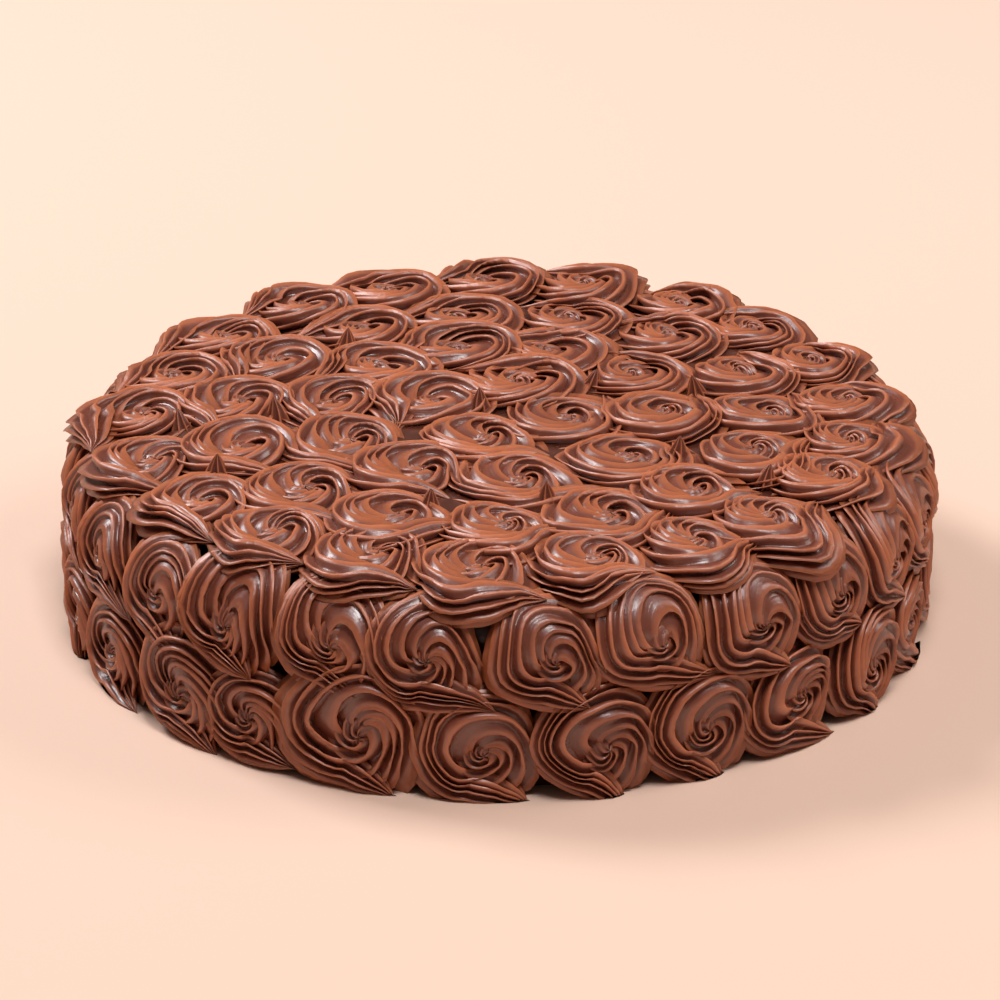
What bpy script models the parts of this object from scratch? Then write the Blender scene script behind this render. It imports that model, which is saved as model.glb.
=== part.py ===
"""Round layer cake, uncut, wholly covered in star-tip buttercream rosettes.

One solid: a crowned core with a rounded top edge, two rows of rosettes round its wall,
four rings of rosettes over its top and a few small star drops in the gaps between them.
Metres, +Z up, origin at the middle of the flat base.
"""

import math
import random

import bmesh
import bpy
from mathutils import Vector

# Core under the piping: a ten inch sponge with a thin first coat
CORE_RADIUS = 0.129
CORE_EDGE_HEIGHT = 0.0555
CORE_CROWN = 0.0030
CORE_EDGE_ROUND = 0.0080
CORE_SIDES = 48
CORE_EDGE_STEPS = 2
CORE_TOP_RINGS = 1

# Rosettes: reach across the coat, height over it and how deep the foot is sunk in it
ROSETTE_REACH = 0.0174
ROSETTE_HEIGHT = 0.0128
ROSETTE_SINK = 0.0030
ROSETTE_SIDES = 10
RIDGE_DEPTH = 0.0010
TAIL_STRETCH = 0.22
TAIL_SPREAD = math.radians(42.0)

# Levels of one rosette from the foot inwards: share of the reach and share of the height
ROSETTE_LEVELS = ((1.00, 0.42), (0.70, 0.97))
LEVEL_TWIST = 0.9
WHORL_REACH = 0.30
WHORL_RISE = 0.98
WHORL_DIP = 0.62
SPIRAL_SHRINK = 0.30

# Rings on the top: count, radius, first azimuth, drift of the spacing and where it peaks
TOP_RINGS = (
    (21, 0.1150, -94.5, 1.5, 250.0),
    (15, 0.0855, -91.5, 4.0, 215.0),
    (10, 0.0545, -76.0, 6.0, 60.0),
    (4, 0.0225, -100.0, 0.0, 0.0),
)
TOP_TAIL = math.radians(0.0)

# Rows round the wall: count, height of the whorl, first azimuth, reach against the usual
WALL_ROWS = (
    (26, 0.0460, 207.0, 1.00),
    (25, 0.0150, 211.0, 1.04),
)
WALL_TAIL = math.radians(-50.0)
FOOT_CLEARANCE = 0.0006

# Unevenness of the hand that piped them
SPACING_JITTER = math.radians(1.2)
TAIL_JITTER = math.radians(16.0)
REACH_JITTER = 0.035
HEIGHT_JITTER = 0.05
HAND_SEED = 27

# Small star drops in the gaps: distance from the middle and azimuth
DROP_SPOTS = (
    (0.0745, -107.0), (0.0690, -78.0), (0.0360, 38.0), (0.1010, 184.0), (0.0990, 207.0),
    (0.0700, 181.0), (0.0965, -33.0), (0.0650, -31.0),
)
DROP_REACH = 0.0058
DROP_HEIGHT = 0.0100
DROP_FLUTES = 6
DROP_FLUTE_DEPTH = 0.30

# Clearing of the seams after the union
SEAM_MERGE = 0.0003
SEAM_ANGLE = math.radians(2.5)

# Buttercream
CHOCOLATE = (0.165, 0.075, 0.040, 1.0)
CHOCOLATE_ROUGHNESS = 0.45


def clear_scene():
    """Remove every object that the file opened with."""
    for item in list(bpy.data.objects):
        bpy.data.objects.remove(item, do_unlink=True)


def chocolate_material():
    """Return the buttercream's material."""
    material = bpy.data.materials.new("chocolate_buttercream")
    material.use_nodes = True
    shader = material.node_tree.nodes["Principled BSDF"]
    shader.inputs["Base Color"].default_value = CHOCOLATE
    shader.inputs["Roughness"].default_value = CHOCOLATE_ROUGHNESS
    shader.inputs["Metallic"].default_value = 0.0
    return material


def coat_profile(distance):
    """Return radius, height and outward slope of the core at a distance along its skin.

    The distance runs from the middle of the top, out to the rounded edge and down the wall.
    """
    flat = CORE_RADIUS - CORE_EDGE_ROUND
    arc = CORE_EDGE_ROUND * math.pi / 2.0
    if distance <= flat:
        height = CORE_EDGE_HEIGHT + CORE_CROWN * (1.0 - (distance / flat) ** 2)
        return distance, height, 0.0
    if distance <= flat + arc:
        turn = (distance - flat) / CORE_EDGE_ROUND
        radius = flat + CORE_EDGE_ROUND * math.sin(turn)
        height = CORE_EDGE_HEIGHT - CORE_EDGE_ROUND * (1.0 - math.cos(turn))
        return radius, height, turn
    height = CORE_EDGE_HEIGHT - CORE_EDGE_ROUND - (distance - flat - arc)
    return CORE_RADIUS, height, math.pi / 2.0


def coat_point(distance, azimuth, lift):
    """Return the point at a lift over the core's skin."""
    radius, height, turn = coat_profile(distance)
    radius += lift * math.sin(turn)
    height += lift * math.cos(turn)
    return Vector((radius * math.cos(azimuth), radius * math.sin(azimuth), height))


def on_top(ring_radius, azimuth):
    """Return a function that lays a local point on the top, with x counter-clockwise."""
    middle = Vector((math.cos(azimuth), math.sin(azimuth))) * ring_radius
    along = Vector((-math.sin(azimuth), math.cos(azimuth)))
    inward = Vector((-math.cos(azimuth), -math.sin(azimuth)))

    def place(x, y, lift):
        spot = middle + along * x + inward * y
        return coat_point(spot.length, math.atan2(spot.y, spot.x), lift)

    return place


def on_wall(whorl_height, azimuth):
    """Return a function that lays a local point on the upright wall, with y upwards."""

    def place(x, y, lift):
        turn = azimuth + x / CORE_RADIUS
        radius = CORE_RADIUS + lift
        height = max(whorl_height + y, FOOT_CLEARANCE)
        return Vector((radius * math.cos(turn), radius * math.sin(turn), height))

    return place


def new_object(name, shape, material):
    """Turn a bmesh into an object in the scene's collection."""
    bmesh.ops.recalc_face_normals(shape, faces=shape.faces)
    mesh = bpy.data.meshes.new(name)
    shape.to_mesh(mesh)
    shape.free()
    mesh.materials.append(material)
    item = bpy.data.objects.new(name, mesh)
    bpy.context.scene.collection.objects.link(item)
    return item


def skin_between(shape, lower, upper):
    """Skin the band between two loops, where the upper has as many points or half as many."""
    ratio = len(lower) // len(upper)
    for i, low in enumerate(lower):
        high = upper[i // ratio]
        shape.faces.new((low, lower[(i + 1) % len(lower)], high))
    for k, high in enumerate(upper):
        shape.faces.new((high, lower[(k + 1) * ratio % len(lower)], upper[(k + 1) % len(upper)]))


def stacked_shape(loops, tip):
    """Skin a stack of loops, with a flat face under it and a point on top."""
    shape = bmesh.new()
    rows = [[shape.verts.new(point) for point in loop] for loop in loops]
    for lower, upper in zip(rows, rows[1:]):
        skin_between(shape, lower, upper)
    peak = shape.verts.new(tip)
    last = rows[-1]
    for i, corner in enumerate(last):
        shape.faces.new((corner, last[(i + 1) % len(last)], peak))
    shape.faces.new(list(reversed(rows[0])))
    return shape


def core_shape():
    """Build the crowned core with its rounded edge."""
    flat = CORE_RADIUS - CORE_EDGE_ROUND
    wall_start = flat + CORE_EDGE_ROUND * math.pi / 2.0
    distances = [wall_start + CORE_EDGE_HEIGHT - CORE_EDGE_ROUND]
    for step in range(CORE_EDGE_STEPS, 0, -1):
        distances.append(flat + (wall_start - flat) * step / CORE_EDGE_STEPS)
    for ring in range(CORE_TOP_RINGS, 0, -1):
        distances.append(flat * ring / CORE_TOP_RINGS)
    loops = []
    for distance in distances:
        turns = [math.tau * i / CORE_SIDES for i in range(CORE_SIDES)]
        loops.append([coat_point(distance, turn, 0.0) for turn in turns])
    return stacked_shape(loops, coat_point(0.0, 0.0, 0.0))


def tail_share(turn):
    """Return how far a direction lies in the pulled-out tail, from 0 to 1."""
    off = math.atan2(math.sin(turn), math.cos(turn))
    return max(0.0, 1.0 - abs(off) / TAIL_SPREAD)


def rosette_shape(place, reach, height, tail):
    """Build one rosette: spiral ridges over a ring of buttercream, a whorl and a tail."""
    step = math.tau / ROSETTE_SIDES
    foot = []
    for i in range(ROSETTE_SIDES):
        turn = i * step
        out = reach * (1.0 + TAIL_STRETCH * tail_share(turn))
        foot.append(place(out * math.cos(tail + turn), out * math.sin(tail + turn), -ROSETTE_SINK))
    loops = [foot]
    for level, (share, rise) in enumerate(ROSETTE_LEVELS):
        loop = []
        for i in range(ROSETTE_SIDES):
            turn = (i + LEVEL_TWIST * (level + 1)) * step
            wound = 1.0 - (turn % math.tau) / math.tau
            ridge = 1.0 if i % 2 else -1.0
            stretch = 1.0 + TAIL_STRETCH * tail_share(turn) * share
            shrink = 1.0 - SPIRAL_SHRINK * wound * (1.0 - share)
            out = reach * share * stretch * shrink + 0.4 * RIDGE_DEPTH * ridge
            lift = height * rise * (1.0 - 0.35 * tail_share(turn) * share) + RIDGE_DEPTH * ridge
            loop.append(place(out * math.cos(tail + turn), out * math.sin(tail + turn), lift))
        loops.append(loop)
    whorl = []
    for i in range(ROSETTE_SIDES // 2):
        turn = (2 * i + 0.5 + LEVEL_TWIST * (len(ROSETTE_LEVELS) + 1)) * step
        out = reach * WHORL_REACH * (0.75 + 0.5 * (turn % math.tau) / math.tau)
        whorl.append(place(out * math.cos(tail + turn), out * math.sin(tail + turn), height * WHORL_RISE))
    loops.append(whorl)
    return stacked_shape(loops, place(0.0, 0.0, height * WHORL_DIP))


def drop_shape(place):
    """Build one small pointed star drop."""
    foot = []
    waist = []
    for i in range(2 * DROP_FLUTES):
        turn = math.pi * i / DROP_FLUTES
        out = DROP_REACH * (1.0 - (DROP_FLUTE_DEPTH if i % 2 else 0.0))
        foot.append(place(out * math.cos(turn), out * math.sin(turn), -ROSETTE_SINK))
        waist.append(place(0.9 * out * math.cos(turn), 0.9 * out * math.sin(turn), 0.45 * DROP_HEIGHT))
    return stacked_shape([foot, waist], place(0.0, 0.0, DROP_HEIGHT))


def uneven(hand, spread):
    """Return a small random offset of either sign."""
    return hand.uniform(-spread, spread)


def all_rosettes(hand):
    """Yield the shape of each rosette, ring by ring and then row by row."""
    for count, radius, first, drift, peak in TOP_RINGS:
        for i in range(count):
            regular = math.radians(first) + math.tau * i / count
            sway = math.radians(drift) * math.cos(regular - math.radians(peak))
            azimuth = regular + sway + uneven(hand, SPACING_JITTER)
            reach = ROSETTE_REACH * (1.0 + uneven(hand, REACH_JITTER))
            height = ROSETTE_HEIGHT * (1.0 + uneven(hand, HEIGHT_JITTER))
            tail = TOP_TAIL + uneven(hand, TAIL_JITTER)
            yield rosette_shape(on_top(radius, azimuth), reach, height, tail)
    for count, whorl, first, scale in WALL_ROWS:
        for i in range(count):
            azimuth = math.radians(first) + math.tau * i / count + uneven(hand, SPACING_JITTER)
            reach = ROSETTE_REACH * scale * (1.0 + uneven(hand, REACH_JITTER))
            height = ROSETTE_HEIGHT * (1.0 + uneven(hand, HEIGHT_JITTER))
            tail = WALL_TAIL + uneven(hand, TAIL_JITTER)
            yield rosette_shape(on_wall(whorl, azimuth), reach, height, tail)


def join_into(core, parts):
    """Fuse the piped parts to the core in one union, then remove them."""
    group = bpy.data.collections.new("piping")
    bpy.context.scene.collection.children.link(group)
    for part in parts:
        group.objects.link(part)
        bpy.context.scene.collection.objects.unlink(part)
    union = core.modifiers.new("piping", "BOOLEAN")
    union.operation = "UNION"
    union.operand_type = "COLLECTION"
    union.collection = group
    union.solver = "EXACT"
    fused = bpy.data.meshes.new_from_object(core.evaluated_get(bpy.context.evaluated_depsgraph_get()))
    core.modifiers.clear()
    core.data = fused
    for part in parts:
        bpy.data.objects.remove(part, do_unlink=True)
    bpy.data.collections.remove(group)


def neighbours(vertex):
    """Return the vertices that share an edge with this one."""
    return {edge.other_vert(vertex) for edge in vertex.link_edges}


def collapse_short_edges(shape):
    """Close up each edge that is shorter than the seam limit, where the skin stays closed."""
    short = [edge for edge in shape.edges if edge.calc_length() < SEAM_MERGE]
    merged = 0
    for edge in short:
        if not edge.is_valid or edge.calc_length() >= SEAM_MERGE:
            continue
        first, second = edge.verts
        if len(neighbours(first) & neighbours(second)) == 2:
            middle = (first.co + second.co) / 2.0
            bmesh.ops.pointmerge(shape, verts=[first, second], merge_co=middle)
            merged += 1
    return merged


def bodies_of(shape):
    """Return the shape's bodies, each a set of vertices, the largest last."""
    left = set(shape.verts)
    bodies = []
    while left:
        body = set()
        edge_of_body = {left.pop()}
        while edge_of_body:
            body |= edge_of_body
            edge_of_body = {near for vertex in edge_of_body for near in neighbours(vertex)} - body
        left -= body
        bodies.append(body)
    return sorted(bodies, key=len)


def drop_scraps(shape):
    """Delete loose scraps and fill sealed hollows, which are all but the largest body."""
    for body in bodies_of(shape)[:-1]:
        bmesh.ops.delete(shape, geom=list(body), context="VERTS")


def tidy_seams(cake):
    """Clear the slivers that the union leaves along its seams."""
    shape = bmesh.new()
    shape.from_mesh(cake.data)
    bmesh.ops.triangulate(shape, faces=shape.faces)
    while collapse_short_edges(shape):
        continue
    drop_scraps(shape)
    bmesh.ops.dissolve_limit(shape, angle_limit=SEAM_ANGLE, verts=shape.verts, edges=shape.edges)
    bmesh.ops.triangulate(shape, faces=shape.faces)
    shape.to_mesh(cake.data)
    shape.free()


def centre_on_base(cake):
    """Move the mesh so that its box is centred over the origin."""
    for axis in range(2):
        values = [vertex.co[axis] for vertex in cake.data.vertices]
        middle = (min(values) + max(values)) / 2.0
        for vertex in cake.data.vertices:
            vertex.co[axis] -= middle


def main():
    """Build the cake."""
    clear_scene()
    material = chocolate_material()
    hand = random.Random(HAND_SEED)
    cake = new_object("cake", core_shape(), material)
    parts = [new_object("rosette", shape, material) for shape in all_rosettes(hand)]
    for distance, azimuth in DROP_SPOTS:
        parts.append(new_object("drop", drop_shape(on_top(distance, math.radians(azimuth))), material))
    join_into(cake, parts)
    tidy_seams(cake)
    centre_on_base(cake)


main()
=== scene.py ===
"""Looks of the round layer cake: chocolate buttercream piped in rosettes over a smooth undercoat."""

import logging
import math
import random
from dataclasses import dataclass, field
from enum import Enum
from typing import Iterator, Sequence

import bpy
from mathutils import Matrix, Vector


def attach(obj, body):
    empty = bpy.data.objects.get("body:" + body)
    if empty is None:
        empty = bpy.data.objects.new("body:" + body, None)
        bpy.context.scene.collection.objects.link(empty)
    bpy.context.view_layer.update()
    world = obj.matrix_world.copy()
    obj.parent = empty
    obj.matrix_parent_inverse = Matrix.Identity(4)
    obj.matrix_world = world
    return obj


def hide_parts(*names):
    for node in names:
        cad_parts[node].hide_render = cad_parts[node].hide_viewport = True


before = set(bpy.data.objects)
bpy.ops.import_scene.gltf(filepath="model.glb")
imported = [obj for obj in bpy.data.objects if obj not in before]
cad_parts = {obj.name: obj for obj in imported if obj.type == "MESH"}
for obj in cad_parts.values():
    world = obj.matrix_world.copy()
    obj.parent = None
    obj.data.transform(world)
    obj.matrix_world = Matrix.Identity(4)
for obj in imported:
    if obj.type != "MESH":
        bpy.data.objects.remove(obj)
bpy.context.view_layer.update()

CAKE_NODE = "cake"
CAKE_BODY = "root"
NEARLY_ZERO = 1e-6

log = logging.getLogger("cake")


class Lay(Enum):
    """Which face of the core a rosette is piped on."""

    TOP = "top"
    WALL = "wall"


class NodeMaker:
    """Adds nodes to one tree and joins them."""

    def __init__(self, tree: bpy.types.NodeTree) -> None:
        """Keep the tree that the nodes go into."""
        self.tree = tree

    def feed(self, socket: bpy.types.NodeSocket, value: object) -> None:
        """Link or set one input.

        Args:
            socket: the input to feed.
            value: a Field, an output socket or a plain value.
        """
        if isinstance(value, Field):
            value = value.socket
        if isinstance(value, bpy.types.NodeSocket):
            self.tree.links.new(value, socket)
        else:
            socket.default_value = value

    def add(self, kind: str, inputs: dict | None = None, **settings: object) -> bpy.types.Node:
        """Add one node.

        Args:
            kind: the node's type.
            inputs: values for its inputs, by name or place.
            settings: values for its own properties.

        Returns:
            The new node.
        """
        node = self.tree.nodes.new(kind)
        for name, value in settings.items():
            setattr(node, name, value)
        for key, value in (inputs or {}).items():
            self.feed(node.inputs[key], value)
        return node

    def math(self, operation: str, *values: "Field | float") -> "Field":
        """Return the result of one math node."""
        node = self.add("ShaderNodeMath", dict(enumerate(values)), operation=operation)
        return Field(self, node.outputs[0])

    def combine(self, x: "Field | float", y: "Field | float", z: "Field | float") -> bpy.types.NodeSocket:
        """Return a vector made of three numbers."""
        return self.add("ShaderNodeCombineXYZ", {0: x, 1: y, 2: z}).outputs[0]

    def noise(self, vector: bpy.types.NodeSocket, scale: float, detail: float = 2.0) -> "Field":
        """Return smooth noise from 0 to 1 over a vector."""
        inputs = {"Vector": vector, "Scale": scale, "Detail": detail}
        return Field(self, self.add("ShaderNodeTexNoise", inputs).outputs[0])

    def profile(self, value: "Field", knots: Sequence[tuple[float, float]]) -> "Field":
        """Return a smooth curve's height over a number from 0 to 1.

        Args:
            value: the number.
            knots: places from 0 to 1 and the heights there.

        Returns:
            The height.
        """
        node = self.add("ShaderNodeFloatCurve", {1: value})
        points = node.mapping.curves[0].points
        points[0].location = knots[0]
        points[1].location = knots[-1]
        for knot in knots[1:-1]:
            points.new(*knot)
        node.mapping.update()
        return Field(self, node.outputs[0])

    def remap(
        self,
        value: "Field",
        low: "Field | float",
        high: "Field | float",
        start: float = 0.0,
        end: float = 1.0,
        smooth: bool = False,
    ) -> "Field":
        """Map a value's range onto another one.

        Args:
            value: the number to map.
            low: the number that gives start.
            high: the number that gives end.
            start: result at and below low.
            end: result at and above high.
            smooth: ease in and out instead of a straight ramp.

        Returns:
            The mapped number, kept between start and end.
        """
        kind = "SMOOTHSTEP" if smooth else "LINEAR"
        inputs = {0: value, 1: low, 2: high, 3: start, 4: end}
        return Field(self, self.add("ShaderNodeMapRange", inputs, interpolation_type=kind).outputs[0])


class Field:
    """One number inside a node tree, ready for plain arithmetic."""

    def __init__(self, maker: NodeMaker, socket: bpy.types.NodeSocket) -> None:
        """Keep the maker and the output that holds the number."""
        self.maker = maker
        self.socket = socket

    def __add__(self, other: "Field | float") -> "Field":
        """Return the sum."""
        return self.maker.math("ADD", self, other)

    def __radd__(self, other: float) -> "Field":
        """Return the sum."""
        return self.maker.math("ADD", other, self)

    def __sub__(self, other: "Field | float") -> "Field":
        """Return the difference."""
        return self.maker.math("SUBTRACT", self, other)

    def __rsub__(self, other: float) -> "Field":
        """Return the difference."""
        return self.maker.math("SUBTRACT", other, self)

    def __mul__(self, other: "Field | float") -> "Field":
        """Return the product."""
        return self.maker.math("MULTIPLY", self, other)

    def __rmul__(self, other: float) -> "Field":
        """Return the product."""
        return self.maker.math("MULTIPLY", other, self)

    def __truediv__(self, other: "Field | float") -> "Field":
        """Return the quotient."""
        return self.maker.math("DIVIDE", self, other)

    def __pow__(self, other: "Field | float") -> "Field":
        """Return the power."""
        return self.maker.math("POWER", self, other)

    def __neg__(self) -> "Field":
        """Return the number with its sign changed."""
        return self.maker.math("MULTIPLY", self, -1.0)

    def __abs__(self) -> "Field":
        """Return the number without its sign."""
        return self.maker.math("ABSOLUTE", self)

    def sin(self) -> "Field":
        """Return the sine."""
        return self.maker.math("SINE", self)

    def cos(self) -> "Field":
        """Return the cosine."""
        return self.maker.math("COSINE", self)

    def at_least(self, other: "Field | float") -> "Field":
        """Return the larger of two numbers."""
        return self.maker.math("MAXIMUM", self, other)

    def at_most(self, other: "Field | float") -> "Field":
        """Return the smaller of two numbers."""
        return self.maker.math("MINIMUM", self, other)

    def between(self, low: "Field | float", high: "Field | float") -> "Field":
        """Return the number kept inside two limits."""
        return self.at_least(low).at_most(high)


class GeometryMaker(NodeMaker):
    """Builds one Geometry Nodes tree with named inputs."""

    def __init__(self, name: str) -> None:
        """Start a tree that takes and gives geometry."""
        super().__init__(bpy.data.node_groups.new(name, "GeometryNodeTree"))
        self.tree.interface.new_socket("Geometry", in_out="INPUT", socket_type="NodeSocketGeometry")
        self.tree.interface.new_socket("Geometry", in_out="OUTPUT", socket_type="NodeSocketGeometry")
        self.entry = self.tree.nodes.new("NodeGroupInput")

    def number(self, name: str, default: float) -> Field:
        """Return a new named input that holds a number."""
        socket = self.tree.interface.new_socket(name, in_out="INPUT", socket_type="NodeSocketFloat")
        socket.default_value = default
        return Field(self, self.entry.outputs[name])

    def count(self, name: str, default: int) -> Field:
        """Return a new named input that holds a whole number."""
        socket = self.tree.interface.new_socket(name, in_out="INPUT", socket_type="NodeSocketInt")
        socket.default_value = default
        return Field(self, self.entry.outputs[name])

    def material(self, name: str) -> bpy.types.NodeSocket:
        """Return a new named input that holds a material."""
        self.tree.interface.new_socket(name, in_out="INPUT", socket_type="NodeSocketMaterial")
        return self.entry.outputs[name]

    def attribute(self, name: str) -> Field:
        """Return a stored number of each point."""
        node = self.add("GeometryNodeInputNamedAttribute", {"Name": name}, data_type="FLOAT")
        return Field(self, node.outputs[0])

    def store(self, geometry: bpy.types.NodeSocket, name: str, value: Field) -> bpy.types.NodeSocket:
        """Store a number on each point and return the geometry."""
        inputs = {"Geometry": geometry, "Name": name, "Value": value}
        node = self.add("GeometryNodeStoreNamedAttribute", inputs, data_type="FLOAT", domain="POINT")
        return node.outputs[0]

    def index(self) -> Field:
        """Return each point's place in the order."""
        return Field(self, self.add("GeometryNodeInputIndex").outputs[0])

    def random(self, low: float, high: float, seed: "Field | int") -> Field:
        """Return a random number for each point, the same on each run."""
        node = self.add("FunctionNodeRandomValue", {2: low, 3: high, "Seed": seed}, data_type="FLOAT")
        return Field(self, node.outputs[1])

    def chances(
        self, points: bpy.types.NodeSocket, chances: Sequence[tuple[str, float, float]], seed: Field
    ) -> bpy.types.NodeSocket:
        """Store a random number on each point for every named range.

        Args:
            points: the points.
            chances: name, lowest and highest value of each number.
            seed: the first number's seed; the others follow it.

        Returns:
            The points.
        """
        for k, (name, low, high) in enumerate(chances):
            points = self.store(points, name, self.random(low, high, seed + k))
        return points

    def fluted_strand(
        self, runs: "Field | int", flutes: Field, per_flute: int, crowd: float
    ) -> bpy.types.NodeSocket:
        """Make a closed strand whose points know how far along and how far round they lie.

        Args:
            runs: sections along the strand.
            flutes: teeth of the star tip.
            per_flute: points across one tooth.
            crowd: how far those points gather at the crest.

        Returns:
            The strand's mesh, with the attributes run, from 0 to 1, and flute, an angle.
        """
        line = self.add("GeometryNodeCurvePrimitiveLine").outputs[0]
        line = self.add("GeometryNodeResampleCurve", {"Curve": line, "Count": runs}).outputs[0]
        line = self.store(line, "run", Field(self, self.add("GeometryNodeSplineParameter").outputs["Factor"]))
        around = flutes * per_flute
        ring = self.add("GeometryNodeCurvePrimitiveCircle", {"Resolution": around, "Radius": 1.0}).outputs[0]
        place = self.index() / per_flute
        gathered = place - (place * math.tau).sin() * (crowd / math.tau)
        ring = self.store(ring, "flute", gathered * math.tau / flutes)
        skin = self.add("GeometryNodeCurveToMesh", {"Curve": line, "Profile Curve": ring, "Fill Caps": True})
        return skin.outputs[0]

    def copies_on(self, points: bpy.types.NodeSocket, shape: bpy.types.NodeSocket) -> bpy.types.NodeSocket:
        """Put a real copy of a shape on each point, with that point's stored numbers."""
        node = self.add("GeometryNodeInstanceOnPoints", {"Points": points, "Instance": shape})
        return self.add("GeometryNodeRealizeInstances", {"Geometry": node.outputs[0]}).outputs[0]

    def finish(self, geometry: bpy.types.NodeSocket, material: bpy.types.NodeSocket) -> None:
        """End the tree with smooth faces, real copies and the material."""
        smooth = self.add("GeometryNodeSetShadeSmooth", {"Geometry": geometry}).outputs[0]
        real = self.add("GeometryNodeRealizeInstances", {"Geometry": smooth}).outputs[0]
        dressed = self.add("GeometryNodeSetMaterial", {"Geometry": real, "Material": material}).outputs[0]
        way_out = self.tree.nodes.new("NodeGroupOutput")
        self.tree.links.new(dressed, way_out.inputs[0])


class ShaderMaker(NodeMaker):
    """Builds one procedural material round its shader, with patterns in the object's own space."""

    def __init__(self, name: str) -> None:
        """Start a material."""
        self.material = bpy.data.materials.new(name)
        self.material.use_nodes = True
        super().__init__(self.material.node_tree)
        self.where = self.add("ShaderNodeTexCoord").outputs["Object"]

    def attribute(self, name: str) -> Field:
        """Return a number that the surface carries."""
        return Field(self, self.add("ShaderNodeAttribute", attribute_name=name).outputs["Fac"])

    def mixed(self, blend: Field, low: Sequence[float], high: Sequence[float]) -> bpy.types.NodeSocket:
        """Return a colour between two others."""
        return self.add("ShaderNodeMix", {0: blend, 6: low, 7: high}, data_type="RGBA").outputs[2]

    def bump(self, height: Field, strength: float, depth: float) -> bpy.types.NodeSocket:
        """Return the normal of a fine relief."""
        inputs = {"Height": height, "Strength": strength, "Distance": depth}
        return self.add("ShaderNodeBump", inputs).outputs[0]

    def finish(self, values: dict[str, object]) -> bpy.types.Material:
        """Feed the shader's inputs by name and return the material."""
        shader = self.tree.nodes["Principled BSDF"]
        for name, value in values.items():
            self.feed(shader.inputs[name], value)
        return self.material


def grown(name: str, seedling: bpy.types.Mesh, tree: bpy.types.NodeTree, values: dict) -> bpy.types.Object:
    """Run a tree on a mesh and keep the result as a plain mesh.

    Args:
        name: name of the new piece.
        seedling: the mesh that the tree starts from.
        tree: the Geometry Nodes tree.
        values: the tree's inputs by name.

    Returns:
        An object at the origin with a plain mesh and no modifier.
    """
    piece = bpy.data.objects.new(name, seedling)
    bpy.context.scene.collection.objects.link(piece)
    modifier = piece.modifiers.new("piping", "NODES")
    modifier.node_group = tree
    for item in tree.interface.items_tree:
        if item.item_type == "SOCKET" and item.in_out == "INPUT" and item.name in values:
            modifier[item.identifier] = values[item.name]
    bpy.context.view_layer.update()
    result = bpy.data.meshes.new_from_object(piece.evaluated_get(bpy.context.evaluated_depsgraph_get()))
    piece.modifiers.clear()
    piece.data = result
    result.name = name
    bpy.data.meshes.remove(seedling)
    return piece


def keep(piece: bpy.types.Object) -> None:
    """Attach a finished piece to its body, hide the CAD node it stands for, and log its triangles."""
    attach(piece, CAKE_BODY)
    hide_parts(CAKE_NODE)
    piece.data.calc_loop_triangles()
    log.info("%s: %d triangles", piece.name, len(piece.data.loop_triangles))


def points_mesh(name: str, spots: Sequence[dict]) -> bpy.types.Mesh:
    """Make a mesh of loose points that carry named numbers.

    Args:
        name: the mesh's name.
        spots: one dictionary of numbers for each point, all with the same keys.

    Returns:
        The mesh.
    """
    mesh = bpy.data.meshes.new(name)
    mesh.from_pydata([(0.0, 0.0, 0.0)] * len(spots), [], [])
    for key in spots[0]:
        layer = mesh.attributes.new(key, "FLOAT", "POINT")
        layer.data.foreach_set("value", [spot[key] for spot in spots])
    return mesh


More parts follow.
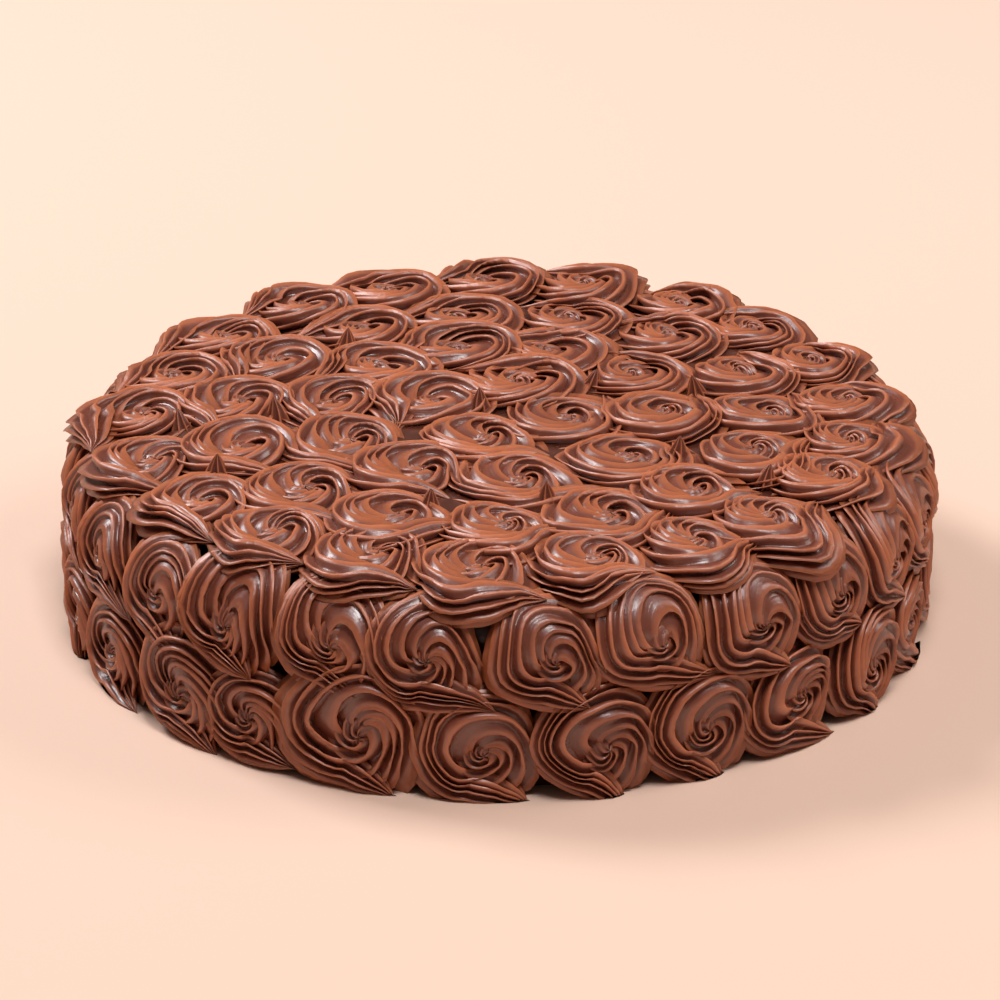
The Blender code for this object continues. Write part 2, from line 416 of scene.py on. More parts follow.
@dataclass(frozen=True)
class Core:
    """The round core under the piping, with its crowned top and rounded edge."""

    radius: float = 0.129
    edge_height: float = 0.0555
    crown: float = 0.0030
    edge_round: float = 0.0080
    droop_start: float = 0.1260
    droop_round: float = 0.0130
    shoulder_start: float = 0.0470
    shoulder_round: float = 0.0150
    shoulder_thin: float = 0.55

    @property
    def flat(self) -> float:
        """Radius at which the top starts to turn down."""
        return self.radius - self.edge_round

    def top_point(self, maker: NodeMaker, x: Field, y: Field, lift: Field) -> bpy.types.NodeSocket:
        """Lay a point on the crowned top, drooping a little where it reaches over the edge.

        Args:
            maker: the tree's maker.
            x: plan position.
            y: plan position.
            lift: height over the coat, square to it.

        Returns:
            The point in the cake's frame.
        """
        out = (x * x + y * y) ** 0.5
        turn = ((out - self.droop_start) / self.droop_round).between(0.0, math.pi / 2.0)
        share = (out / self.flat).at_most(1.0)
        spread = out.at_most(self.droop_start) + (self.droop_round + lift) * turn.sin()
        rise = self.edge_height + self.crown * (1.0 - share * share)
        height = rise - self.droop_round + (self.droop_round + lift) * turn.cos()
        scale = spread / out.at_least(NEARLY_ZERO)
        return maker.combine(x * scale, y * scale, height)

    def ring_point(
        self, maker: NodeMaker, azimuth: Field, place: Field, x: Field, y: Field, lift: Field
    ) -> bpy.types.NodeSocket:
        """Lay a point of a rosette or a star on the top.

        Args:
            maker: the tree's maker.
            azimuth: direction of its whorl.
            place: distance of its whorl from the cake's middle.
            x: distance from its whorl, counter-clockwise.
            y: distance from its whorl, inwards.
            lift: height over the coat.

        Returns:
            The point in the cake's frame.
        """
        plan_x = azimuth.cos() * (place - y) - azimuth.sin() * x
        plan_y = azimuth.sin() * (place - y) + azimuth.cos() * x
        return self.top_point(maker, plan_x, plan_y, lift)

    def wall_point(
        self, maker: NodeMaker, azimuth: Field, along: Field, height: Field, lift: Field
    ) -> bpy.types.NodeSocket:
        """Lay a point on the wall, leaning in over the shoulder where it reaches that high.

        Args:
            maker: the tree's maker.
            azimuth: direction of the rosette's whorl.
            along: distance round the wall from it.
            height: height over the base.
            lift: distance out from the coat.

        Returns:
            The point in the cake's frame.
        """
        around = azimuth + along / self.radius
        bend = ((height - self.shoulder_start) / self.shoulder_round).between(0.0, math.pi / 2.0)
        bulge = lift * (1.0 - bend * self.shoulder_thin) + self.shoulder_round
        out = bulge * bend.cos() + (self.radius - self.shoulder_round)
        level = height.at_most(self.shoulder_start) + bulge * bend.sin()
        return maker.combine(out * around.cos(), out * around.sin(), level)


@dataclass(frozen=True)
class Ring:
    """One ring of rosettes on the top."""

    name: str
    count: int
    radius: float
    first: float
    drift: float
    drift_peak: float
    scale: float
    swell: float = 0.0


@dataclass(frozen=True)
class Row:
    """One row of rosettes round the wall, with its odd ones: place, shift, raise and scale."""

    name: str
    count: int
    height: float
    first: float
    scale: float
    odd_ones: tuple[tuple[int, float, float, float], ...] = ()


@dataclass
class Hand:
    """The hand that piped the cake: how far its spacing, size and tails vary."""

    reach: float = 0.0174
    height: float = 0.0125
    top_tail: float = math.radians(0.0)
    wall_tail: float = math.radians(-50.0)
    spacing_jitter: float = math.radians(1.2)
    tail_jitter: float = math.radians(24.0)
    reach_jitter: float = 0.05
    height_jitter: float = 0.07
    place_jitter: float = 0.0009
    swell_turn: float = math.radians(98.0)
    swell_power: int = 4
    swell_height: float = 0.8
    swell_reach: float = 0.9
    seed: int = 27
    draw: random.Random = field(init=False)

    def __post_init__(self) -> None:
        """Start the seeded draws."""
        self.draw = random.Random(self.seed)

    def uneven(self, spread: float) -> float:
        """Return a small random offset of either sign."""
        return self.draw.uniform(-spread, spread)

    def rosette(self, azimuth: float, place: float, scale: float, tail: float) -> dict:
        """Draw one rosette's numbers.

        Args:
            azimuth: direction of its whorl.
            place: distance from the middle, or height on the wall.
            scale: its reach against the usual one.
            tail: direction of its tail in its own frame.

        Returns:
            The numbers that its point carries.
        """
        spot = {"azimuth": azimuth + self.uneven(self.spacing_jitter)}
        spot["place"] = place + self.uneven(self.place_jitter)
        spot["reach"] = self.reach * scale * (1.0 + self.uneven(self.reach_jitter))
        spot["height"] = self.height * (1.0 + self.uneven(self.height_jitter))
        spot["tail"] = tail + self.uneven(self.tail_jitter)
        return spot

    def ring(self, ring: Ring) -> Iterator[dict]:
        """Yield the rosettes of one ring, the larger ones where it swells."""
        for i in range(ring.count):
            regular = math.radians(ring.first) + math.tau * i / ring.count
            sway = math.radians(ring.drift) * math.cos(regular - math.radians(ring.drift_peak))
            towards = max(math.cos(regular + sway - self.swell_turn), 0.0)
            swell = ring.swell * towards**self.swell_power
            spot = self.rosette(regular + sway, ring.radius + swell, ring.scale, self.top_tail)
            spot["height"] += swell * self.swell_height
            spot["reach"] += swell * self.swell_reach
            yield spot

    def row(self, row: Row) -> Iterator[dict]:
        """Yield the rosettes of one row, with its odd ones shifted and resized."""
        odd_ones = {place: rest for place, *rest in row.odd_ones}
        for i in range(row.count):
            azimuth = math.radians(row.first) + math.tau * i / row.count
            shift, raised, scale = odd_ones.get(i, (0.0, 0.0, 1.0))
            azimuth += math.radians(shift)
            yield self.rosette(azimuth, row.height + raised, row.scale * scale, self.wall_tail)


@dataclass(frozen=True)
class Winding:
    """Where a rosette's rope runs and how thick it is, for each point of the strand."""

    run: Field
    wind: Field
    wound_back: Field
    tail: Field
    heading: Field
    x: Field
    y: Field
    middle_height: Field
    half_width: Field
    half_height: Field


@dataclass
class Rosettes:
    """Buttercream rosettes, each one fluted rope wound outwards and pulled off in a tail."""

    core: Core

    # The star tip's flutes and the strand's resolution
    flutes: dict[Lay, int] = field(default_factory=lambda: {Lay.TOP: 13, Lay.WALL: 14})
    per_flute: int = 5
    crowd: float = 0.0
    sections: int = 66

    # Ridges: depth, form of the crest and how far they stray and lean
    groove: float = 0.68
    crest_power: float = 1.75
    crest_round: float = 0.10
    crest_lean: float = 0.40
    stray: float = 0.13
    stray_waves: tuple[float, float] = (2.0, 3.0)
    stray_run: float = 4.0
    stray_second: float = 0.7
    patch_waves: tuple[float, float] = (3.5, 1.1)
    patch_noise: tuple[float, float] = (0.3, 0.7)
    patch_depth: tuple[float, float] = (0.62, 1.25)
    marked_wind: tuple[float, float] = (0.12, 0.50)
    marked_least: float = 0.08

    # The smooth zone above the whorl and the fold that fills the inside of a turn
    calm: dict[Lay, float] = field(default_factory=lambda: {Lay.TOP: 0.2, Lay.WALL: 0.55})
    calm_turn: float = math.radians(-150.0)
    calm_spread: float = math.radians(70.0)
    calm_side: tuple[float, float] = (0.2, 1.3)
    calm_dull: float = 0.38
    inner_fill: float = 0.80
    inner_calm: float = 0.60
    inner_turn: float = math.radians(-135.0)
    inner_spread: float = math.radians(150.0)

    # The rope's path and thickness, by the share of the winding
    coil_share: float = 0.74
    wind_power: float = 0.75
    turns: float = 1.70
    close_from: float = 0.80
    close_turn: float = 0.08
    path: tuple[tuple[float, float], ...] = (
        (0.0, 0.02), (0.206, 0.06), (0.333, 0.13), (0.46, 0.24), (0.587, 0.39), (0.714, 0.62),
        (0.841, 0.74), (0.936, 0.71), (1.0, 0.64),
    )
    half_width: tuple[tuple[float, float], ...] = (
        (0.0, 0.34), (0.206, 0.38), (0.38, 0.40), (0.587, 0.42), (0.72, 0.46), (0.88, 0.47), (1.0, 0.42),
    )
    half_height: tuple[tuple[float, float], ...] = (
        (0.0, 0.78), (0.206, 0.84), (0.44, 0.89), (0.68, 0.98), (0.88, 1.0), (1.0, 0.95),
    )
    nose: float = 0.07
    outer_widening: float = 0.12
    skirt: float = 1.0
    skirt_turn: float = math.radians(-318.0)
    skirt_spread: float = math.radians(85.0)

    # The tail
    tail_length: dict[Lay, float] = field(default_factory=lambda: {Lay.TOP: 0.95, Lay.WALL: 1.0})
    tail_lift: dict[Lay, float] = field(default_factory=lambda: {Lay.TOP: 0.08, Lay.WALL: 0.30})
    tail_lag: float = math.radians(67.0)
    tail_bend: float = 0.22
    tail_taper: float = 1.5
    least_taper: float = 0.02

    # Slow sway of the whole rosette and small ripples of its skin
    sway: float = 0.0075
    sway_waves: float = 42.0
    sway_shift: float = 9.0
    ripple: float = 0.0016
    ripple_waves: float = 130.0
    ripple_rise_waves: float = 90.0
    ripple_shift: float = 7.0
    lift_waves: float = 110.0
    lift_shift: float = 3.0
    lowest: float = -0.001
    floor_clearance: float = 0.0002

    # Seeds, and each rosette's chances with their lowest and highest values
    seed: int = 5
    ring_seed_step: int = 10
    wall_seed: int = 100
    parts: tuple[tuple[str, int], ...] = (("front", 5), ("back", 4))
    chances: tuple[tuple[str, float, float], ...] = (
        ("more_turns", -0.22, 0.18), ("longer", -0.3, 0.25), ("deeper", -0.15, 0.15), ("egg", -0.15, 0.15),
        ("egg_turn", 0.0, math.tau), ("chance", 0.0, 50.0), ("follow", 0.45, 0.75),
    )

    rings: tuple[Ring, ...] = (
        Ring("top_outer", 21, 0.1130, -94.5, 1.5, 250.0, 1.06, 0.0030),
        Ring("top_second", 15, 0.0852, -91.5, 4.0, 215.0, 1.19),
        Ring("top_third", 10, 0.0535, -76.0, 6.0, 60.0, 1.22),
        Ring("top_middle", 4, 0.0225, -100.0, 0.0, 0.0, 1.26),
    )
    rows: tuple[Row, ...] = (
        Row("upper_row", 26, 0.0460, 207.0, 1.00),
        Row(
            "lower_row", 25, 0.0150, 211.0, 1.04,
            ((2, -3.3, 0.0, 0.98), (3, -2.7, 0.003, 1.28), (4, -0.5, 0.0, 1.04)),
        ),
    )

    def winding(self, maker: GeometryMaker, lay: Lay, turns: Field, tail_length: Field) -> Winding:
        """Wind the rope outwards from the whorl and pull it off in a tail.

        Args:
            maker: the tree's maker.
            lay: the face of the core that the rosette lies on.
            turns: how often the rope goes round.
            tail_length: length of the tail against the reach.

        Returns:
            The rope's path and thickness.
        """
        run = maker.attribute("run")
        reach = maker.attribute("reach")
        height = maker.attribute("height")
        tail = maker.attribute("tail")

        coil = (run / self.coil_share).at_most(1.0)
        pull = ((run - self.coil_share) / (1.0 - self.coil_share)).at_least(0.0)
        wind = coil**self.wind_power
        wound_back = (turns + maker.attribute("more_turns")) * math.tau * (wind - 1.0)
        end = tail - self.tail_lag
        theta = end + wound_back
        inward = maker.remap(wind, self.close_from, 1.0, 0.0, self.close_turn, smooth=True)
        heading = theta + (math.pi / 2.0) + inward - pull * self.tail_bend
        middle = maker.profile(wind, self.path) * reach
        middle = middle * (1.0 + maker.attribute("egg") * (theta - maker.attribute("egg_turn")).cos())
        pulled = pull * reach * tail_length * (1.0 + maker.attribute("longer"))
        pull_heading = end + (math.pi / 2.0 + self.close_turn) - pull * (self.tail_bend / 2.0)

        nose = maker.remap(wind, 0.0, self.nose)
        taper = (1.0 - pull**self.tail_taper) * ((nose * (2.0 - nose)) ** 0.5)
        half_width = reach * maker.profile(wind, self.half_width) * taper.at_least(self.least_taper)
        half_height = height * 0.5 * maker.profile(wind, self.half_height)
        return Winding(
            run=run, wind=wind, wound_back=wound_back, tail=tail, heading=heading,
            x=middle * theta.cos() + pulled * pull_heading.cos(),
            y=middle * theta.sin() + pulled * pull_heading.sin(),
            middle_height=half_height + pull * height * self.tail_lift[lay],
            half_width=half_width,
            half_height=half_height * taper.at_least(self.least_taper),
        )

    def section(
        self, maker: GeometryMaker, lay: Lay, rope: Winding, flutes: Field, groove: Field
    ) -> tuple[Field, Field, Field, Field]:
        """Give the rope its fluted section.

        Args:
            maker: the tree's maker.
            lay: the face of the core that the rosette lies on.
            rope: the rope's path and thickness.
            flutes: teeth of the star tip.
            groove: depth of the grooves against the section.

        Returns:
            The skin's place in the rosette's own plane, its height and its share of crest.
        """
        flute = maker.attribute("flute")
        chance = maker.attribute("chance")
        swing = flute * flutes * 0.5
        edge = ((swing.sin() ** 2.0) + self.crest_round**2) ** (0.5 * self.crest_power)
        first, second = self.stray_waves
        stray = (flute * second - chance + rope.run * self.stray_run).sin() * self.stray_second
        stray = (flute * first + chance).sin() + stray
        angle = flute - (rope.heading - rope.tail) * maker.attribute("follow") + chance - math.pi / 2.0
        angle = angle + stray * self.stray

        calm = maker.remap(
            abs(rope.wound_back - self.calm_turn), 0.0, self.calm_spread, self.calm[lay], 0.0, smooth=True
        )
        calm = calm * maker.remap(angle.sin() - angle.cos(), *self.calm_side, smooth=True)
        inner = maker.remap(
            abs(rope.wound_back - self.inner_turn), 0.0, self.inner_spread, 1.0, 0.0, smooth=True
        )
        inner = inner * angle.sin().at_least(0.0)
        skirt = maker.remap(
            abs(rope.wound_back - self.skirt_turn), 0.0, self.skirt_spread, self.skirt, 0.0, smooth=True
        )

        run_waves, flute_waves = self.patch_waves
        patches = maker.combine(rope.run * run_waves, chance, flute * flute_waves)
        patchy = maker.noise(patches, 1.0, detail=1.0)
        depth = maker.remap(patchy, *self.patch_noise, *self.patch_depth)
        depth = groove * (1.0 + maker.attribute("deeper")) * depth
        marked = (1.0 - calm) * maker.remap(rope.wind, *self.marked_wind, self.marked_least, 1.0)
        share = 1.0 - depth * marked * (1.0 - inner * self.inner_calm) * edge
        angle = angle - (share - 1.0) * self.crest_lean
        widened = 1.0 + self.outer_widening * angle.cos()
        widened = widened + skirt * (-angle.sin()).at_least(0.0) + inner * self.inner_fill
        across = angle.sin() * share * rope.half_width * widened
        return (
            rope.x - rope.heading.sin() * across,
            rope.y + rope.heading.cos() * across,
            rope.middle_height - angle.cos() * share * rope.half_height,
            # calm zones get a middling crest share, so they take a colour between the painted lit crest and
            # the painted groove shade
            1.0 - edge * marked - (1.0 - marked) * self.calm_dull,
        )

    def wavering(self, maker: GeometryMaker, x: Field, y: Field, upward: Field) -> tuple[Field, Field, Field]:
        """Let the skin sway and ripple, as soft buttercream does.

        Args:
            maker: the tree's maker.
            x: place in the rosette's own plane.
            y: place in the rosette's own plane.
            upward: height over the coat.

        Returns:
            The three numbers, moved.
        """
        chance = maker.attribute("chance")
        wide = self.sway_waves
        sway = maker.combine(x * wide + chance, y * wide, chance)
        x = x + (maker.noise(sway, 1.0, detail=0.0) - 0.5) * self.sway
        sway = maker.combine(x * wide, y * wide + chance, chance + self.sway_shift)
        y = y + (maker.noise(sway, 1.0, detail=0.0) - 0.5) * self.sway
        fine, rising = self.ripple_waves, self.ripple_rise_waves
        ripple = maker.combine(x * fine + chance, y * fine, upward * rising)
        x = x + (maker.noise(ripple, 1.0) - 0.5) * self.ripple
        ripple = maker.combine(x * fine, y * fine + chance, upward * rising + self.ripple_shift)
        y = y + (maker.noise(ripple, 1.0) - 0.5) * self.ripple
        ripple = maker.combine(x * self.lift_waves, y * self.lift_waves, chance + self.lift_shift)
        lift = (upward + (maker.noise(ripple, 1.0) - 0.5) * self.ripple).at_least(self.lowest)
        return x, y, lift

    def tree(self, lay: Lay) -> bpy.types.NodeTree:
        """Build the tree that winds a rosette on each point of a mesh.

        Args:
            lay: the face of the core that it lays them on.

        Returns:
            The tree.
        """
        maker = GeometryMaker(f"rosettes_{lay.value}")
        flutes = maker.count("Flutes", self.flutes[lay])
        sections = maker.count("Sections", self.sections)
        groove = maker.number("Groove", self.groove)
        turns = maker.number("Turns", self.turns)
        tail_length = maker.number("Tail Length", self.tail_length[lay])
        seed = maker.count("Seed", self.seed)
        material = maker.material("Material")

        points = maker.chances(maker.entry.outputs[0], self.chances, seed)
        strand = maker.fluted_strand(sections, flutes, self.per_flute, self.crowd)
        rope = maker.copies_on(points, strand)
        winding = self.winding(maker, lay, turns, tail_length)
        x, y, upward, crest = self.section(maker, lay, winding, flutes, groove)
        x, y, lift = self.wavering(maker, x, y, upward)

        azimuth = maker.attribute("azimuth")
        place = maker.attribute("place")
        if lay is Lay.TOP:
            spot = self.core.ring_point(maker, azimuth, place, x, y, lift)
        else:
            spot = self.core.wall_point(maker, azimuth, x, (place + y).at_least(self.floor_clearance), lift)
        rope = maker.add("GeometryNodeSetPosition", {"Geometry": rope, "Position": spot}).outputs[0]
        # Painted light and shade: the material paints crests lit, grooves shaded and low skin darker from
        # these two numbers.
        rope = maker.store(rope, "crest", crest)
        rope = maker.store(rope, "lift", lift / maker.attribute("height"))
        maker.finish(rope, material)
        return maker.tree

    def build(self, hand: Hand, material: bpy.types.Material) -> list[bpy.types.Object]:
        """Pipe every ring and row.

        Args:
            hand: the hand that places them.
            material: the buttercream.

        Returns:
            The pieces, one for each ring and two for each row.
        """
        pieces = []
        tree = self.tree(Lay.TOP)
        for k, ring in enumerate(self.rings):
            values = {"Seed": self.seed + self.ring_seed_step * k, "Material": material}
            seedling = points_mesh(ring.name, list(hand.ring(ring)))
            pieces.append(grown(f"rosettes_{ring.name}", seedling, tree, values))
        tree = self.tree(Lay.WALL)
        for k, row in enumerate(self.rows):
            spots = list(hand.row(row))
            half = len(spots) // 2
            for (part, part_seed), share in zip(self.parts, (spots[:half], spots[half:])):
                seed = self.seed + self.wall_seed + self.ring_seed_step * k + part_seed
                values = {"Seed": seed, "Material": material}
                name = f"rosettes_{row.name}_{part}"
                pieces.append(grown(name, points_mesh(name, share), tree, values))
        for piece in pieces:
            keep(piece)
        return pieces


@dataclass
class StarDrops:
    """Small pointed stars piped into the gaps between the rosettes of the top."""

    core: Core
    flutes: int = 7
    per_flute: int = 5
    crowd: float = 0.35
    sections: int = 22
    reach: float = 0.0078
    height: float = 0.0150
    groove: float = 0.50
    crest_round: float = 0.1
    belly_power: float = 0.75
    foot: float = 0.3
    foot_reach: float = 0.85
    least_reach: float = 0.01
    sunk: float = 0.2
    seed: int = 71
    chances: tuple[tuple[str, float, float], ...] = (
        ("size", 0.90, 1.05), ("lean", -0.25, 0.25), ("lean_turn", 0.0, math.tau), ("twist", -0.5, 0.9),
    )
    spots: tuple[tuple[float, float], ...] = (
        (0.0745, -107.0), (0.0690, -78.0), (0.0360, 38.0), (0.1010, 184.0), (0.0990, 207.0),
        (0.0700, 181.0), (0.0965, -33.0), (0.0650, -31.0), (0.0066, 158.0), (0.0680, 16.3), (0.0775, 131.6),
    )

    def tree(self) -> bpy.types.NodeTree:
        """Build the tree that pipes one star on each point of a mesh."""
        maker = GeometryMaker("star_drops")
        flutes = maker.count("Flutes", self.flutes)
        sections = maker.count("Sections", self.sections)
        reach = maker.number("Reach", self.reach)
        height = maker.number("Height", self.height)
        seed = maker.count("Seed", self.seed)
        material = maker.material("Material")
        points = maker.chances(maker.entry.outputs[0], self.chances, seed)
        star = maker.copies_on(points, maker.fluted_strand(sections, flutes, self.per_flute, self.crowd))

        run = maker.attribute("run")
        flute = maker.attribute("flute")
        size = maker.attribute("size")
        edge = ((flute * flutes * 0.5).sin() ** 2.0 + self.crest_round**2) ** 0.5 - self.crest_round
        belly = (1.0 - run) ** self.belly_power
        belly = belly * maker.remap(run, 0.0, self.foot, self.foot_reach, 1.0, smooth=True)
        out = reach * size * belly.at_least(self.least_reach) * (1.0 - self.groove * edge)
        rise = (run * (1.0 + self.sunk) - self.sunk) * height * size
        turn = flute + run * maker.attribute("twist")
        lean_turn = maker.attribute("lean_turn")
        leaning = run * run * height * maker.attribute("lean")
        side = out * turn.cos() + leaning * lean_turn.cos()
        inward = out * turn.sin() + leaning * lean_turn.sin()
        azimuth = maker.attribute("azimuth")
        spot = self.core.ring_point(maker, azimuth, maker.attribute("place"), side, inward, rise)
        star = maker.add("GeometryNodeSetPosition", {"Geometry": star, "Position": spot}).outputs[0]
        # Painted light and shade: the crest share picks the painted lit crest colour, and lift grows from the
        # foot so the foot takes painted shade.
        star = maker.store(star, "crest", 1.0 - edge)
        star = maker.store(star, "lift", run)
        maker.finish(star, material)
        return maker.tree

    def build(self, material: bpy.types.Material) -> bpy.types.Object:
        """Pipe the stars and return their piece."""
        spots = [{"place": out, "azimuth": math.radians(azimuth)} for out, azimuth in self.spots]
        piece = grown("star_drops", points_mesh("star_drops", spots), self.tree(), {"Material": material})
        keep(piece)
        return piece


@dataclass
class Undercoat:
    """The thin smooth coat that shows in the gaps between the rosettes."""

    core: Core
    sides: int = 160
    edge_steps: int = 8
    top_rings: int = 24
    wall_rings: int = 10
    top_fill: float = 0.0075
    fill_slope: float = 6.0
    # Painted shade: lift is set low so the whole coat takes the painted depth shade of the gaps, and crest is
    # set so it takes the painted groove shade colour.
    shading: tuple[tuple[str, float], ...] = (("crest", 0.3), ("lift", 0.12), ("run", 0.0), ("flute", 0.0))

    def outline(self) -> list[tuple[float, float]]:
        """Return radius and height from the base, up the wall and in to the middle."""
        core = self.core
        wall_top = core.edge_height - core.edge_round
        points = [(core.radius, wall_top * i / self.wall_rings) for i in range(self.wall_rings)]
        for i in range(self.edge_steps + 1):
            turn = math.pi / 2.0 * (1.0 - i / self.edge_steps)
            radius = core.flat + core.edge_round * math.sin(turn)
            points.append((radius, wall_top + core.edge_round * math.cos(turn)))
        for i in range(1, self.top_rings):
            share = 1.0 - i / self.top_rings
            filled = self.top_fill * min(1.0, self.fill_slope * (1.0 - share))
            points.append((core.flat * share, core.edge_height + core.crown * (1.0 - share**2) + filled))
        return points

    def build(self, material: bpy.types.Material) -> bpy.types.Object:
        """Turn the outline into the coat and return its piece."""
        outline = self.outline()
        verts = []
        for radius, height in outline:
            for k in range(self.sides):
                turn = math.tau * k / self.sides
                verts.append((radius * math.cos(turn), radius * math.sin(turn), height))
        top = len(verts)
        verts.append((0.0, 0.0, self.core.edge_height + self.core.crown + self.top_fill))
        faces = []
        for i in range(len(outline) - 1):
            for k in range(self.sides):
                a = i * self.sides + k
                b = i * self.sides + (k + 1) % self.sides
                faces.append((a, b, b + self.sides, a + self.sides))
        last = (len(outline) - 1) * self.sides
        faces += [(last + k, last + (k + 1) % self.sides, top) for k in range(self.sides)]
        faces.append(tuple(reversed(range(self.sides))))
        mesh = bpy.data.meshes.new("undercoat")
        mesh.from_pydata(verts, [], faces)
        mesh.shade_smooth()
        mesh.materials.append(material)
        for name, value in self.shading:
            layer = mesh.attributes.new(name, "FLOAT", "POINT")
            layer.data.foreach_set("value", [value] * len(mesh.vertices))
        piece = bpy.data.objects.new("undercoat", mesh)
        bpy.context.scene.collection.objects.link(piece)
        keep(piece)
        return piece


@dataclass(frozen=True)
class Buttercream:
    """Chocolate buttercream: satin grooves and fine drag lines, with painted light and shade: crests painted
    paler and more orange as if lit through, grooves painted darker.
    """

    # Painted light and shade: the groove colour is darker than the buttercream as painted shade in the
    # grooves, and the crest colour is paler and more orange as a painted glow of lit thin crests; the
    # buttercream's own colour lies between them.
    painted_shade_groove_colour: tuple[float, float, float, float] = (0.152, 0.039, 0.021, 1.0)
    painted_lit_crest_colour: tuple[float, float, float, float] = (0.530, 0.152, 0.056, 1.0)
    painted_lit_from: float = 0.56
    painted_lit_share: float = 0.85
    tone_waves: float = 60.0
    tone_share: float = 0.35
    # Painted shade: the colour is darkened down to this share where the skin lies low over the coat, as shade
    # in deep folds and gaps.
    depth_shade: float = 0.34
    depth_below: float = 0.45
    groove_roughness: float = 0.27
    crest_roughness: float = 0.42
    satin_crest: tuple[float, float] = (0.1, 0.8)
    smear_waves: float = 240.0
    smear_share: float = 0.25
    specular: float = 0.80
    scatter: float = 0.14
    scatter_colour: tuple[float, float, float] = (1.0, 0.35, 0.2)
    scatter_reach: float = 0.0015
    drag_waves: tuple[float, float, float] = (6.0, 26.0, 2.0)
    drag_share: float = 0.6
    grain_waves: float = 900.0
    grain_share: float = 0.2
    nick_waves: float = 520.0
    nick_share: float = 0.4
    bump_strength: float = 0.5
    bump_depth: float = 0.0005

    def build(self) -> bpy.types.Material:
        """Return the material."""
        maker = ShaderMaker("chocolate_buttercream_finish")
        crest = maker.attribute("crest")
        tone = maker.noise(maker.where, self.tone_waves, detail=3.0)
        # Painted light and shade: the crest share picks the painted lit crest colour, the rest falls to the
        # painted groove shade, with real random tone mixed in.
        thin = maker.remap(crest, self.painted_lit_from, 1.0)
        blend = (thin * self.painted_lit_share + (tone - 0.5) * self.tone_share).between(0.0, 1.0)
        colour = maker.mixed(blend, self.painted_shade_groove_colour, self.painted_lit_crest_colour)
        # Painted shade: darker where the skin lies low, in the deep folds and gaps between rosettes.
        shade = maker.remap(
            maker.attribute("lift"), 0.0, self.depth_below, self.depth_shade, 1.0, smooth=True
        )
        shaded = maker.add("ShaderNodeVectorMath", {0: colour, "Scale": shade}, operation="SCALE")

        satin = maker.remap(crest, *self.satin_crest, self.groove_roughness, self.crest_roughness)
        smear = (maker.noise(maker.where, self.smear_waves) - 0.5) * self.smear_share
        run_waves, flute_waves, tone_waves = self.drag_waves
        run, flute = maker.attribute("run"), maker.attribute("flute")
        streaks = maker.combine(run * run_waves, flute * flute_waves, tone * tone_waves)
        relief = maker.noise(streaks, 1.0, detail=3.0) * self.drag_share
        relief = relief + maker.noise(maker.where, self.grain_waves) * self.grain_share
        relief = relief + maker.noise(maker.where, self.nick_waves) * crest * self.nick_share
        return maker.finish({
            "Base Color": shaded.outputs[0],
            "Roughness": satin + smear,
            "Specular IOR Level": self.specular,
            "Subsurface Weight": self.scatter,
            "Subsurface Radius": self.scatter_colour,
            "Subsurface Scale": self.scatter_reach,
            "Normal": maker.bump(relief, self.bump_strength, self.bump_depth),
        })


@dataclass(frozen=True)
class PaleTable:
    """Plain pale peach table top, with a painted light falloff: darker at the front, lighter towards the
    back.
    """

    painted_dim_near_colour: tuple[float, float, float, float] = (0.680, 0.470, 0.360, 1.0)
    painted_lit_far_colour: tuple[float, float, float, float] = (0.815, 0.610, 0.485, 1.0)
    near: float = -0.5
    far: float = 0.9
    roughness: float = 0.7
    grain_waves: float = 300.0
    bump_strength: float = 0.05
    bump_depth: float = 0.0005

    def build(self) -> bpy.types.Material:
        """Return the material."""
        maker = ShaderMaker("pale_table")
        back = Field(maker, maker.add("ShaderNodeSeparateXYZ", {0: maker.where}).outputs["Y"])
        # Painted light: the colour grows lighter towards the back, as the light's falloff over the table.
        blend = maker.remap(back, self.near, self.far, smooth=True)
        grain = maker.noise(maker.where, self.grain_waves)
        return maker.finish({
            "Base Color": maker.mixed(blend, self.painted_dim_near_colour, self.painted_lit_far_colour),
            "Roughness": self.roughness,
            "Normal": maker.bump(grain, self.bump_strength, self.bump_depth),
        })


@dataclass(frozen=True)
class Lamp:
    """One soft square light: its place in metres, the length of its sides, its watts and its colour."""

    name: str
    place: tuple[float, float, float]
    size: float
    power: float
    colour: tuple[float, float, float]


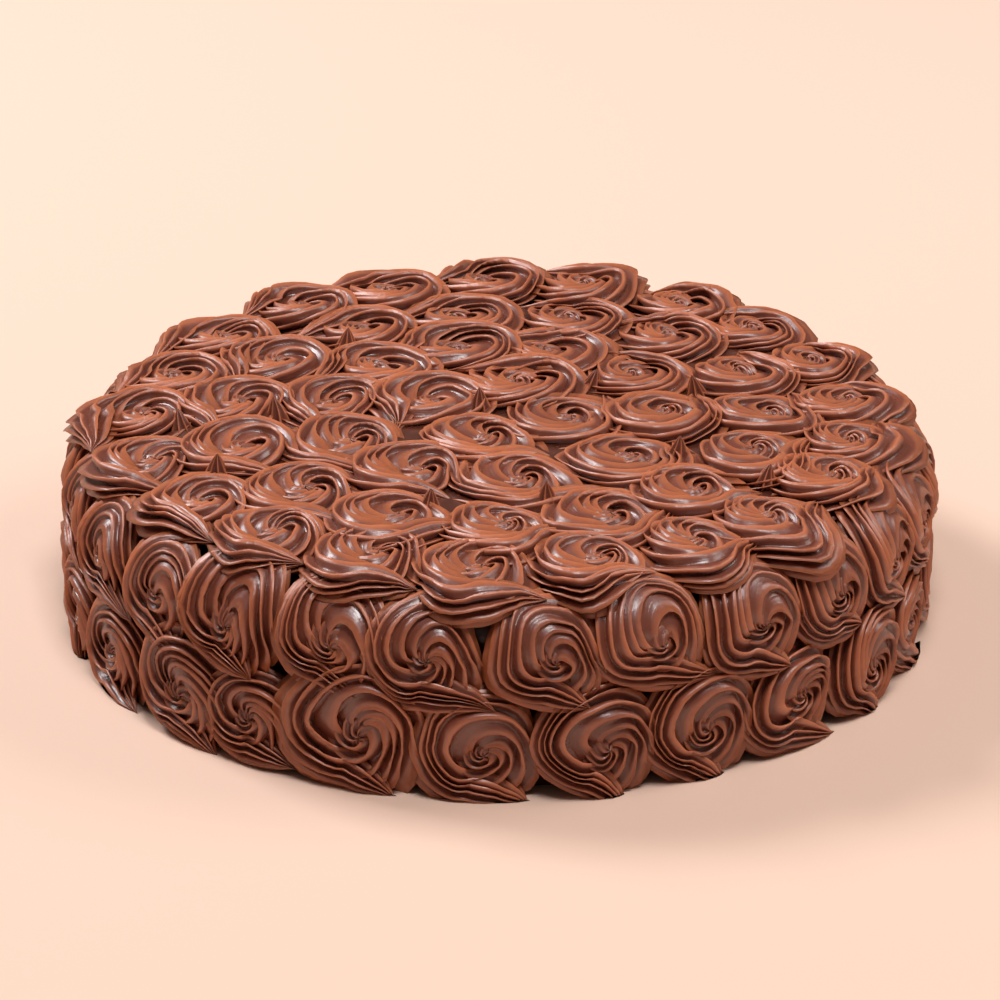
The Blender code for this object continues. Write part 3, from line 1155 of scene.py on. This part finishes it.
@dataclass
class Studio:
    """Floor, soft lights, surroundings and the camera at the photograph's angle."""

    floor_half: float = 4.0
    camera_place: tuple[float, float, float] = (0.0003, -1.2139, 0.5837)
    camera_pitch: float = math.radians(65.70)
    lens: float = 148.03
    sensor: float = 36.0
    ambient: tuple[float, float, float, float] = (1.0, 0.88, 0.80, 1.0)
    ambient_strength: float = 0.12
    aim: tuple[float, float, float] = (0.0, 0.0, 0.03)
    lamps: tuple[Lamp, ...] = (
        Lamp("key_window", (-1.5, 0.9, 1.8), 0.8, 49.0, (0.97, 0.97, 1.0)),
        Lamp("overhead", (0.15, -0.80, 2.05), 0.7, 35.0, (0.98, 0.97, 0.99)),
        Lamp("right_fill", (1.6, 0.2, 1.4), 1.0, 17.0, (1.0, 0.96, 0.94)),
    )

    def floor(self) -> None:
        """Lay the plain floor."""
        half = self.floor_half
        corners = [(-half, -half, 0.0), (half, -half, 0.0), (half, half, 0.0), (-half, half, 0.0)]
        mesh = bpy.data.meshes.new("floor")
        mesh.from_pydata(corners, [], [(0, 1, 2, 3)])
        mesh.materials.append(PaleTable().build())
        floor = bpy.data.objects.new("floor", mesh)
        bpy.context.scene.collection.objects.link(floor)

    def hang(self, lamp: Lamp) -> None:
        """Hang one lamp so that it faces the cake."""
        light = bpy.data.lights.new(lamp.name, "AREA")
        light.energy = lamp.power
        light.size = lamp.size
        light.color = lamp.colour
        item = bpy.data.objects.new(lamp.name, light)
        item.location = lamp.place
        item.rotation_euler = (Vector(self.aim) - Vector(lamp.place)).to_track_quat("-Z", "Y").to_euler()
        bpy.context.scene.collection.objects.link(item)

    def build(self) -> None:
        """Set up the whole studio."""
        self.floor()
        for lamp in self.lamps:
            self.hang(lamp)
        world = bpy.data.worlds.new("surroundings")
        world.use_nodes = True
        background = world.node_tree.nodes["Background"]
        background.inputs["Color"].default_value = self.ambient
        background.inputs["Strength"].default_value = self.ambient_strength
        bpy.context.scene.world = world
        camera = bpy.data.objects.new("camera", bpy.data.cameras.new("camera"))
        camera.location = self.camera_place
        camera.rotation_euler = (self.camera_pitch, 0.0, 0.0)
        camera.data.lens = self.lens
        camera.data.sensor_width = self.sensor
        bpy.context.scene.collection.objects.link(camera)
        bpy.context.scene.camera = camera
        bpy.context.scene.view_settings.view_transform = "Standard"


def main() -> None:
    """Build the cake piece by piece and set up the studio."""
    logging.basicConfig(level=logging.INFO, format="%(name)s %(message)s")
    core = Core()
    cream = Buttercream().build()
    Undercoat(core).build(cream)
    Rosettes(core).build(Hand(), cream)
    StarDrops(core).build(cream)
    Studio().build()


if __name__ == "__main__":
    main()
